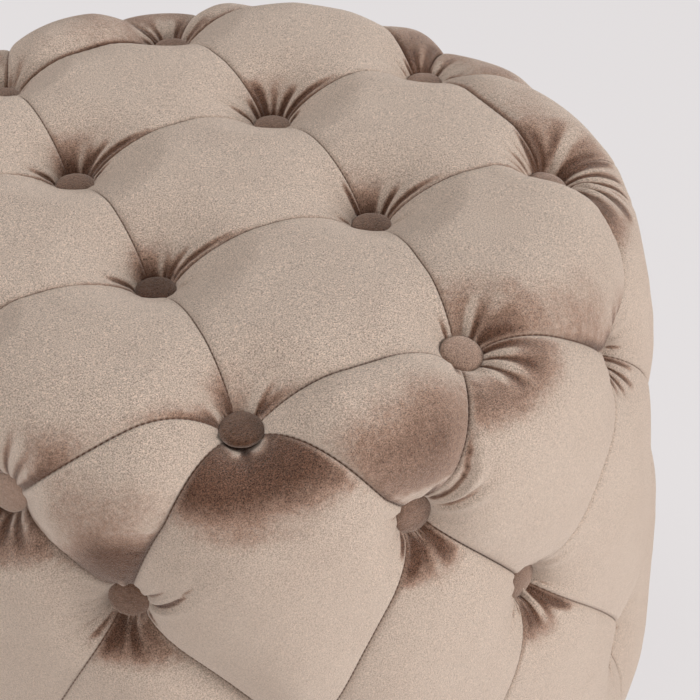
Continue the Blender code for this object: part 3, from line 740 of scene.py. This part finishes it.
def add_panel(velvet, panel, places, reaches, draw, pile_draw):
    """Adds one sewn panel, quarter by quarter. Returns its chart points along the hem, if it has any."""
    corners = np.array([places[name] for name in panel])
    seams = [pair for pair in sides_of(panel) if not all(name.startswith("hem") for name in pair)]
    *levels, middle_level = pile_levels(panel, pile_draw)
    levels = np.array(levels)
    gathers = []
    for corner, name in enumerate(panel):
        if not name.startswith("hem"):
            before, after = panel[corner - 1], panel[(corner + 1) % len(panel)]
            gathers.append((name, before, after, sector_pleats(name, after, draw)))
    hem = []
    for corner in range(len(panel)):
        shares = quarter_grid(corner, len(panel))
        chart = bent(blended(shares, corners), places)
        points = on_seat(chart)
        measured = [seam_distances(points, seam, places) for seam in seams]
        apart = np.stack([gap for gap, _ in measured])
        nearest = apart.min(0)
        along = np.stack([way for _, way in measured])
        ways = np.take_along_axis(along, apart.argmin(0)[None], 0)[0]
        rise = panel_rise(panel, places, points, chart, dict(zip(seams, apart)), ways, reaches)
        folds = sum(pleat_rise(points, places[name], places[before], places[after], pleats)
                    for name, before, after, pleats in gathers)
        folds = folds * ease(nearest / PLEAT_SEAM_CLEARANCE)
        rise = rise + folds
        # Painted shade: the panel's levels at its corners and middle, the painted nap shade of its slope, and
        # painted shade in the pleats' valleys with painted highlight on their ridges
        pile = middle_level + shares ** PAINTED_SHADE_CLOSENESS[panel_kind(panel)] @ (levels - middle_level)
        surface = on_seat(chart, rise)
        pile = pile + painted_nap_shade(panel, chart, grid_normals(surface, chart), nearest) - folds * PAINTED_FOLD_SHADE
        velvet.add_grid(surface, seam_gap=nearest, seam_way=ways, pile=pile)
        hem += list(np.angle(chart[np.abs(chart) > HEM_PATH - HEM_MATCH]))
    return hem


def add_inside(velvet, hem):
    """Adds the turned-in hem and the inner side of the cover, in rings that begin at the hem's own points.

    The hem runs in to its opening, gathered upwards in a sine of the angle, more the further in. The inner
    side then follows the seat surface, COVER_UNDER_BUTTON inside it.
    """
    round_angle = np.unique(np.round(hem, 9))
    keep = np.diff(round_angle, prepend=round_angle[-1] - 2 * np.pi) > HEM_LEAST_STEP
    round_angle = np.append(round_angle[keep], round_angle[keep][0] + 2 * np.pi)
    sway = HEM_GATHER_SWAY * np.sin(round_angle * HEM_GATHER_SWAY_COUNT)
    gather = 0.5 + 0.5 * np.sin(round_angle * HEM_GATHER_COUNT + sway)
    share = np.linspace(0, 1, HEM_RINGS)[:, None]
    edge_radius, _ = inset_section(HEM_PATH, -HEM_RISE)
    hem_radius = edge_radius + (HEM_OPENING_RADIUS - edge_radius) * share
    hem_height = COVER_BOTTOM + HEM_GATHER_DEPTH * gather * share
    wall_path = np.linspace(HEM_PATH - HEM_FLANGE_THICKNESS, 0, INNER_RINGS)
    wall_radius, wall_height = inset_section(wall_path[:, None], COVER_UNDER_BUTTON)
    inner_height = np.vstack([[[COVER_BOTTOM + HEM_FLANGE_THICKNESS]], wall_height]) + 0 * round_angle
    radius = np.vstack([hem_radius, [[HEM_OPENING_RADIUS]], wall_radius])
    places = around(radius, round_angle, np.vstack([hem_height, inner_height]))
    flat = np.zeros(places.shape[:2])
    velvet.add_grid(places, seam_gap=flat + 1, seam_way=flat, pile=flat + INNER_PAINTED_SHADE)


def add_object(name, data):
    """A new object in the scene, at the origin."""
    thing = bpy.data.objects.new(name, data)
    bpy.context.scene.collection.objects.link(thing)
    return thing


def mesh_object(name, places, faces):
    """A smooth-shaded mesh object from arrays of places and faces, at the origin."""
    mesh = bpy.data.meshes.new(name)
    mesh.from_pydata(np.asarray(places).tolist(), [], [list(face) for face in faces])
    mesh.shade_smooth()
    return add_object(name, mesh)


def close_up(piece, distance=WELD_DISTANCE):
    """Merges the doubled points of a piece and turns its faces outwards."""
    build = bmesh.new()
    build.from_mesh(piece.data)
    bmesh.ops.remove_doubles(build, verts=build.verts, dist=distance)
    bmesh.ops.recalc_face_normals(build, faces=build.faces)
    build.to_mesh(piece.data)
    build.free()
    return piece


def make_cover(places, panels):
    """The velvet cover: all sewn panels, the turned-in hem and the inner side."""
    velvet = Velvet()
    reaches = hollow_reaches(places, panels)
    draw = np.random.default_rng(PLEAT_SEED)
    pile_draw = np.random.default_rng(PAINTED_SHADE_SEED)
    hem = []
    for panel in panels:
        hem += add_panel(velvet, panel, places, reaches, draw, pile_draw)
    add_inside(velvet, hem)
    faces = np.concatenate(velvet.faces)
    cover = mesh_object("tufted_velvet", np.concatenate(velvet.places), faces)
    for name, values in velvet.measures.items():
        values = np.concatenate(values).astype(np.float32)
        on_corners = name == "pile"
        layer = cover.data.attributes.new(name, "FLOAT", "CORNER" if on_corners else "POINT")
        layer.data.foreach_set("value", values[faces.reshape(-1)] if on_corners else values)
    return close_up(cover)


def grid_object(name, places):
    """A closed piece from a grid of places, its doubled edges merged."""
    return close_up(mesh_object(name, places.reshape(-1, 3), grid_faces(*places.shape[:2])))


def turned(name, profile, sides=ROUND_SIDES, closed=False, centre=(0, 0)):
    """A turned piece: a profile of radii and heights carried round an upright axis in equal steps."""
    profile = np.array(profile + profile[:1] if closed else profile)
    turn = np.arange(sides + 1) * 2 * np.pi / sides
    return grid_object(name, around(profile[:, 0, None], turn, profile[:, 1, None]) + (*centre, 0))


class Value:
    """A number that varies over a surface. Arithmetic on it adds Math nodes."""

    def __init__(self, finish, socket):
        self.finish, self.socket = finish, socket

    def math(self, operation, *others):
        return self.finish.node("Math", {"operation": operation}, dict(enumerate((self, *others))))

    def __add__(self, other):
        return self.math("ADD", other)

    def __sub__(self, other):
        return self.math("SUBTRACT", other)

    def __rsub__(self, other):
        return self.finish.node("Math", {"operation": "SUBTRACT"}, {0: other, 1: self})

    def __mul__(self, other):
        return self.math("MULTIPLY", other)

    __radd__ = __add__
    __rmul__ = __mul__


class Finish:
    """A node material, built up by one method that adds a node."""

    def __init__(self, name):
        self.material = bpy.data.materials.new(name)
        self.material.use_nodes = True
        self.tree = self.material.node_tree
        self.shader = self.tree.nodes["Principled BSDF"]

    def node(self, kind, settings, sockets, output=0):
        """Adds a node: first its settings, then the values or links of its sockets. Returns one output."""
        node = self.tree.nodes.new("ShaderNode" + kind)
        for key, value in settings.items():
            setattr(node, key, value)
        for key, value in sockets.items():
            self.feed(node.inputs[key], value)
        return Value(self, node.outputs[output])

    def feed(self, socket, value):
        """Gives a socket a value or a link."""
        if isinstance(value, Value):
            self.tree.links.new(value.socket, socket)
        else:
            socket.default_value = value

    def set(self, **sockets):
        """Sets sockets of the Principled shader, their names written with underscores."""
        for key, value in sockets.items():
            self.feed(self.shader.inputs[key.replace("_", " ")], value)

    def place(self, scale=(1, 1, 1)):
        """The place on the piece, stretched along each direction."""
        place = self.node("TexCoord", {}, {}, "Object")
        if scale == (1, 1, 1):
            return place
        return self.node("Mapping", {}, {"Vector": place, "Scale": scale})

    def attribute(self, name):
        return self.node("Attribute", {"attribute_name": name}, {}, "Fac")

    def noise(self, place, scale, detail=2.0, roughness=0.5):
        """Noise about zero, from minus a half to a half, with so many swells a metre."""
        sockets = {"Vector": place, "Scale": scale, "Detail": detail, "Roughness": roughness}
        return self.node("TexNoise", {}, sockets, "Fac") - 0.5

    def cells(self, place, scale, randomness=1.0):
        """How far each place is from the middle of its cell, with so many cells a metre."""
        sockets = {"Vector": place, "Scale": scale, "Randomness": randomness}
        return self.node("TexVoronoi", {}, sockets, "Distance")

    def upright(self, vector):
        """The share of a vector that points up."""
        return self.node("SeparateXYZ", {}, {0: vector}, "Z")

    def normal(self):
        return self.node("NewGeometry", {}, {}, "Normal")

    def clamp(self, value, low=0.0, high=1.0):
        return self.node("Clamp", {}, {0: value, "Min": low, "Max": high})

    def smooth(self, value, low, high):
        """A smooth step from 0 at the low value to 1 at the high one."""
        settings = {"interpolation_type": "SMOOTHSTEP"}
        return self.node("MapRange", settings, {"Value": value, "From Min": low, "From Max": high})

    def mix(self, factor, first, second):
        """A colour part of the way from the first to the second, or past it."""
        first, second = [(*end, 1) if isinstance(end, tuple) else end for end in (first, second)]
        settings = {"data_type": "RGBA", "clamp_factor": False}
        return self.node("Mix", settings, {0: factor, 6: first, 7: second}, 2)

    def paint(self, colour, relief, depth, **sockets):
        """Sets the colour, bumps of a relief so many metres deep, and other sockets. Returns the material."""
        bumps = {"Height": relief, "Distance": depth, "Strength": 1.0}
        self.set(Base_Color=colour, Normal=self.node("Bump", {}, bumps), **sockets)
        return self.material


def velvet_finish(name, colours, sewn):
    """Velvet with painted shade and sheen: lighter seen at a slant, darker seen head-on and where shaded."""
    light, half_shaded, dark = colours
    finish = Finish(name)
    place = finish.place()
    cloud = finish.noise(place, CLOUD_SCALE, 3, 0.6)
    fleck = finish.noise(place, FLECK_SCALE, 3, 0.7)
    grain = finish.noise(place, GRAIN_SCALE, 3, 0.8)
    # Painted sheen: the colour is lighter where the velvet is seen at a slant and darker where it is seen
    # head-on
    facing = finish.node("LayerWeight", {}, {"Blend": 0.5}, "Facing")
    # The tone's clouds, flecks and grain, with the painted sheen and the painted shade, set how far the
    # colour goes from lit to shaded
    lean = (0.25 - facing) * 0.4 + cloud * 0.34 + fleck * 0.28 + grain * 0.3 + finish.attribute("pile")
    shade = finish.smooth(lean, *SHADE_AND_TONE_RANGE) + cloud * 0.14 + fleck * 0.18
    shade = finish.clamp(shade, *SHADE_LIMITS)
    colour = finish.mix((shade * 2).math("MINIMUM", 1.0), light, half_shaded)
    colour = finish.mix((shade * 2 - 1).math("MAXIMUM", 0.0), colour, dark)
    # Painted light: the grain is shown stronger where the velvet is painted dark and on faces that point up
    coarseness = 1.4 + shade * 2.6 + finish.upright(finish.normal()).math("MAXIMUM", 0.0) * 3.0
    scaled = {0: colour, "Scale": grain * coarseness + 1}
    colour = finish.node("VectorMath", {"operation": "SCALE"}, scaled)
    if sewn:
        line = 1 - finish.smooth(finish.attribute("seam_gap"), *SEAM_LINE)
        stitch = (finish.attribute("seam_way") * (2 * math.pi / STITCH_PITCH)).math("SINE")
        dash = finish.smooth(stitch, -0.5, 0.3) * 0.5 + 0.5
        colour = finish.mix(line * dash, colour, SEAM_COLOUR)
    finish.set(Sheen_Weight=0.5, Sheen_Roughness=0.35, Sheen_Tint=(1.0, 0.90, 0.82, 1))
    relief = grain * 1.4 + fleck
    return finish.paint(colour, relief, VELVET_RELIEF, Roughness=0.85, Specular_IOR_Level=0.15)


def foam_finish():
    """Cream foam with open cells."""
    finish = Finish("cut_foam")
    place = finish.place()
    cells = finish.cells(place, 900.0)
    shade = cells * 0.6 + finish.noise(place, 25, 3) * 0.5 + 0.2
    colour = finish.mix(shade, *FOAM_COLOURS)
    return finish.paint(colour, cells, 0.0006, Roughness=0.95, Specular_IOR_Level=0.1)


def plywood_finish():
    """Birch plywood: long grain on the faces, and pale and dark plies where its edges show."""
    finish = Finish("birch_plywood")
    grain = finish.noise(finish.place((6, 60, 60)), 5, 4, 0.6)
    pores = finish.noise(finish.place((30, 900, 900)), 1, 2, 0.6)
    edge = 1 - finish.smooth(finish.upright(finish.normal()).math("ABSOLUTE"), 0.3, 0.7)
    plies = (finish.upright(finish.place()) * (2 * math.pi / PLY_PITCH)).math("SINE")
    shade = finish.clamp(grain * 1.1 + pores * 0.5 + 0.35 + edge * finish.smooth(plies, -0.3, 0.3) * 0.4)
    return finish.paint(finish.mix(shade, *PLYWOOD_COLOURS), pores + grain, 0.0003, Roughness=0.6)


def fibreboard_finish():
    """Brown hardboard with a felted face."""
    finish = Finish("fibreboard_face")
    felt = finish.noise(finish.place(), 420, 4, 0.75)
    shade = finish.clamp(felt * 0.9 + finish.noise(finish.place(), 18, 3) * 0.6 + 0.45)
    return finish.paint(finish.mix(shade, *FIBREBOARD_COLOURS), felt, 0.0004, Roughness=0.8)


def dust_cloth_finish():
    """Black spun-bonded cloth with its pattern of welded dots."""
    finish = Finish("spun_bonded_cloth")
    dots = finish.cells(finish.place(), 420.0, 0.25)
    fibre = finish.noise(finish.place(), 1500, 3, 0.7)
    colour = finish.mix(finish.clamp(dots * 0.8 + fibre * 0.7), *DUST_CLOTH_COLOURS)
    return finish.paint(colour, dots + fibre * 0.5, 0.0004, Roughness=0.95, Specular_IOR_Level=0.2)


def glide_finish():
    """Black nylon with faint moulding marks and scuffs."""
    finish = Finish("moulded_nylon")
    scuff = finish.noise(finish.place((300, 40, 40)), 6, 4, 0.7)
    grain = finish.noise(finish.place(), 1200, 2, 0.6)
    roughness = finish.smooth(scuff, -0.5, 0.5) * 0.3 + 0.35
    colour = finish.mix(finish.clamp(scuff * 1.2 + 0.4), *NYLON_COLOURS)
    return finish.paint(colour, grain, 0.0002, Roughness=roughness)


def staple_finish():
    """Galvanised wire."""
    finish = Finish("staple_wire")
    grain = finish.noise(finish.place(), 900, 2, 0.6)
    colour = finish.mix(grain + 0.5, *STAPLE_COLOURS)
    return finish.paint(colour, grain, 0.0001, Metallic=1.0, Roughness=0.38)


def make_button(name, chart):
    """A covered button: the profile of a shallow dome, carried round the button's own axis.

    Its velvet is drawn round the rim into fine folds, which are a swaying sine of the angle.
    """
    share, level = np.array(BUTTON_DOME_SHARES).T[..., None]
    turn = np.arange(BUTTON_SIDES) * 2 * np.pi / BUTTON_SIDES
    waves = np.sin(turn * BUTTON_FOLD_COUNT + BUTTON_FOLD_SWAY * np.sin(turn * 2))
    fold = ease((share - BUTTON_FOLD_START_SHARE) / (1 - BUTTON_FOLD_START_SHARE)) * waves
    radius = share * BUTTON_RADIUS + fold * BUTTON_FOLD_DEPTH * (level > 0)
    height = BUTTON_LIFT + level * (BUTTON_HEIGHT - BUTTON_LIFT)
    foot, side, up = button_axes(chart)
    tilt = BUTTON_TILT_SEEN.get(name, 0)
    out = outward(chart) * math.cos(tilt) + up * math.sin(tilt)
    up = np.cross(out, side)
    ring = side * np.cos(turn)[:, None] + up * np.sin(turn)[:, None]
    grid = foot + ring * radius[..., None] + out * height[..., None]
    places = np.concatenate([grid.reshape(-1, 3), [foot + out * BUTTON_HEIGHT, foot + out * BUTTON_LIFT]])
    top, bottom = len(places) - 2, len(places) - 1
    faces = ring_faces(len(grid), BUTTON_SIDES).tolist()
    index = np.arange(BUTTON_SIDES)
    after = np.roll(index, -1)
    last = top - BUTTON_SIDES
    faces += [[top, first, second] for first, second in zip(index, after)]
    faces += [[bottom, second, first] for first, second in zip(index + last, after + last)]
    button = mesh_object("covered_" + button_node(name), places, faces)
    # Painted shade of the button's velvet: listed for some buttons, the same for the others
    pile = BUTTON_PAINTED_SHADE_SEEN.get(name, BUTTON_PAINTED_SHADE)
    button.data.attributes.new("pile", "FLOAT", "POINT").data.foreach_set("value", [pile] * len(places))
    return button


def stand_for(piece, finish, slot, *nodes):
    """Gives a piece its finish, lets it ride on the pouf, and lets it stand for its CAD nodes."""
    piece.data.materials.append(finish)
    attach(piece, "root")
    if nodes:
        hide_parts(*nodes)
    return piece


def inner_profile(inset, low, high):
    """Radii and heights so far inside the seat surface, from a low level up to the middle of the top."""
    radius, height = inset_section(np.linspace(HEM_PATH, 0, FOAM_RINGS), inset)
    kept = (height > low) & (height < high)
    return list(zip(radius[kept].tolist(), height[kept].tolist()))


def make_foam():
    """The foam disc under the seat and the foam ring round the drum, their edges rounded."""
    finish = foam_finish()
    inset = COVER_UNDER_BUTTON + FOAM_CLEARANCE
    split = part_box("top_foam")[0].z
    rim = inner_profile(inset, split + FOAM_EDGE, SEAT_TOP_HEIGHT)
    radius = rim[0][0]
    rounding = FOAM_EDGE * FOAM_EDGE_ROUNDING_SHARE
    disc = [(0, split), (radius - FOAM_EDGE, split), (radius - rounding, split + rounding)] + rim
    disc = stand_for(turned("seat_foam_disc", disc), finish, "foam", "top_foam")
    low, high = (corner.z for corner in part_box("side_foam"))
    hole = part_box("drum_wrap")[1].x + FOAM_CLEARANCE
    side = inner_profile(inset, low + FOAM_EDGE, high - FOAM_EDGE)
    ring = [(hole, low), (side[0][0] - FOAM_EDGE, low)] + side
    ring += [(side[-1][0] - FOAM_EDGE, high), (hole, high)]
    ring = stand_for(turned("side_foam_ring", ring, closed=True), finish, "foam", "side_foam")


def make_dust_cover():
    """The dust cover: a round of cloth stretched over the hem, drawn in a little at each staple.

    Its upper side is a profile of radii and heights carried round, and its lower side the same turned
    back, lower by the cloth's thickness.
    """
    low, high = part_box("dust_cover")
    reach = high.x
    step = HEM_OPENING_RADIUS
    lap = low.z + CLOTH_THICKNESS
    profile = np.array([
        (0, high.z), (step * CLOTH_MIDDLE_SHARE, high.z), (step - CLOTH_SLOPE, high.z),
        (step - CLOTH_SLOPE * CLOTH_BEND_SHARE, high.z - CLOTH_DIP), (step, lap),
        (step + CLOTH_LAP_START, lap), (reach - CLOTH_LAP_END, lap), (reach, lap),
    ])
    sides = STAPLE_COUNT * CLOTH_STEPS
    turn = np.arange(sides + 1) * 2 * np.pi / sides
    upper = around(profile[:, 0, None], turn, profile[:, 1, None])
    pulled = reach - CLOTH_SCALLOP * (0.5 - 0.5 * np.cos(turn * STAPLE_COUNT))
    upper[-1] = around(pulled, turn, lap)
    lower = upper[::-1] - (0, 0, CLOTH_THICKNESS)
    piece = grid_object("stretched_dust_cover", np.vstack([upper, lower]))
    stand_for(piece, dust_cloth_finish(), "dust_cover_cloth", "dust_cover")
    return reach, low.z


def make_staples(reach, bottom):
    """A ring of staples round the dust cover: each a square wire with bent ends, just under the cloth."""
    wire = STAPLE_WIRE / 2
    across, rise = wire * np.array([(-1, -1), (1, -1), (1, 1), (-1, 1)]).T
    along, bend = np.array(STAPLE_CROWN).T[..., None]
    turn = (np.arange(STAPLE_COUNT) * 2 * np.pi / STAPLE_COUNT)[:, None, None, None]
    out = np.concatenate([np.cos(turn), np.sin(turn), 0 * turn], axis=-1)
    side = np.concatenate([-np.sin(turn), np.cos(turn), 0 * turn], axis=-1)
    places = out * (reach - STAPLE_INSET + across)[:, None] + side * (along * STAPLE_LENGTH / 2)[..., None]
    places[..., 2] += bottom - wire - STAPLE_LIFT + rise + bend * STAPLE_WIRE
    rings, corners = len(STAPLE_CROWN), len(across)
    count = rings * corners
    ends = [[3, 2, 1, 0], [count - 4, count - 3, count - 2, count - 1]]
    faces = np.vstack([ring_faces(rings, corners), ends]) + count * np.arange(STAPLE_COUNT)[:, None, None]
    piece = mesh_object("dust_cover_staples", places.reshape(-1, 3), faces.reshape(-1, 4))
    stand_for(close_up(piece, STAPLE_WELD), staple_finish(), "glide_plastic")


def make_glides():
    """Nail-on glides: a round pad with a rounded edge and a slightly domed face, its nail in the board."""
    finish = glide_finish()
    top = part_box("dust_cover")[1].z - CLOTH_THICKNESS - GLIDE_GAP
    for index in range(GLIDE_COUNT):
        name = f"glide_{index + 1}"
        low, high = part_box(name)
        centre = ((low.x + high.x) / 2, (low.y + high.y) / 2)
        radius = (high.x - low.x) / 2
        nail = GLIDE_NAIL_RADIUS
        profile = [(nail * out, high.z - nail * down) for out, down in GLIDE_NAIL_TIP_SHARES]
        profile += [(nail, top), (radius - GLIDE_EDGE, top), (radius, top - GLIDE_EDGE)]
        profile += [(radius - inset, height) for inset, height in GLIDE_FACE]
        profile += [(radius * GLIDE_FLAT_SHARE, 0), (0, 0)]
        piece = turned("nylon_" + name, profile, GLIDE_SIDES, centre=centre)
        stand_for(piece, finish, "glide_plastic", name)


def dress_frame():
    """Finishes for the wooden frame, whose CAD shapes stay."""
    plywood = plywood_finish()
    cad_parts["drum_wrap"].data.materials[0] = fibreboard_finish()
    for name in ["top_board", "base_board"] + [f"post_{index + 1}" for index in range(POST_COUNT)]:
        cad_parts[name].data.materials[0] = plywood


def make_floor():
    """A pale floor, bright to the camera but still with the pouf's shadow."""
    corners = [(-1, -1), (1, -1), (1, 1), (-1, 1)]
    floor = mesh_object("floor", [(FLOOR_REACH * x, FLOOR_REACH * y, 0) for x, y in corners], [range(4)])
    finish = Finish("pale_floor")
    finish.set(Base_Color=(*FLOOR_COLOUR, 1), Roughness=0.9, Specular_IOR_Level=0.1)
    camera_ray, glossy, through = (
        finish.node("LightPath", {}, {}, ray)
        for ray in ("Is Camera Ray", "Is Glossy Ray", "Is Transmission Ray")
    )
    seen = camera_ray.math("MAXIMUM", glossy).math("MAXIMUM", through) * FLOOR_GLOW_SHARE
    glow = finish.node("Emission", {}, {"Color": (*FLOOR_GLOW, 1), "Strength": 1.0})
    mixed = finish.node("MixShader", {}, {0: seen, 1: Value(finish, finish.shader.outputs[0]), 2: glow})
    finish.feed(finish.tree.nodes["Material Output"].inputs["Surface"], mixed)
    floor.data.materials.append(finish.material)


def add_light(name, place, size, power):
    """A round soft light that shines at the pouf."""
    light = bpy.data.lights.new(name, "AREA")
    light.shape = "DISK"
    light.size = size
    light.energy = power
    lamp = add_object(name, light)
    lamp.location = place
    lamp.rotation_euler = (Vector(LIGHT_AIM) - Vector(place)).to_track_quat("-Z", "Y").to_euler()


def make_studio():
    """The camera of the photograph, a pale floor, soft lights and an even sky."""
    camera = add_object("camera", bpy.data.cameras.new("camera"))
    camera.location = CAMERA_PLACE
    camera.rotation_euler = [math.radians(angle) for angle in CAMERA_TURN_DEGREES]
    camera.data.lens = CAMERA_LENS
    camera.data.sensor_width = SENSOR_WIDTH
    bpy.context.scene.camera = camera
    make_floor()
    world = bpy.data.worlds.new("studio")
    bpy.context.scene.world = world
    world.use_nodes = True
    sky = world.node_tree.nodes["Background"]
    sky.inputs["Color"].default_value = (*SKY_COLOUR, 1)
    sky.inputs["Strength"].default_value = SKY_STRENGTH
    for name, (place, size, power) in LIGHTS.items():
        add_light(name, place, size, power)
    bpy.context.scene.view_settings.view_transform = "Standard"


places = corner_places()
panels = sewn_panels()
cover_finish = velvet_finish("taupe_velvet", VELVET_COLOURS, sewn=True)
cover = stand_for(make_cover(places, panels), cover_finish, "velvet", "velvet_cover")
button_finish = velvet_finish("button_velvet", BUTTON_COLOURS, sewn=False)
for name in button_names():
    stand_for(make_button(name, places[name]), button_finish, "button_velvet", button_node(name))
make_foam()
make_staples(*make_dust_cover())
make_glides()
dress_frame()
make_studio()
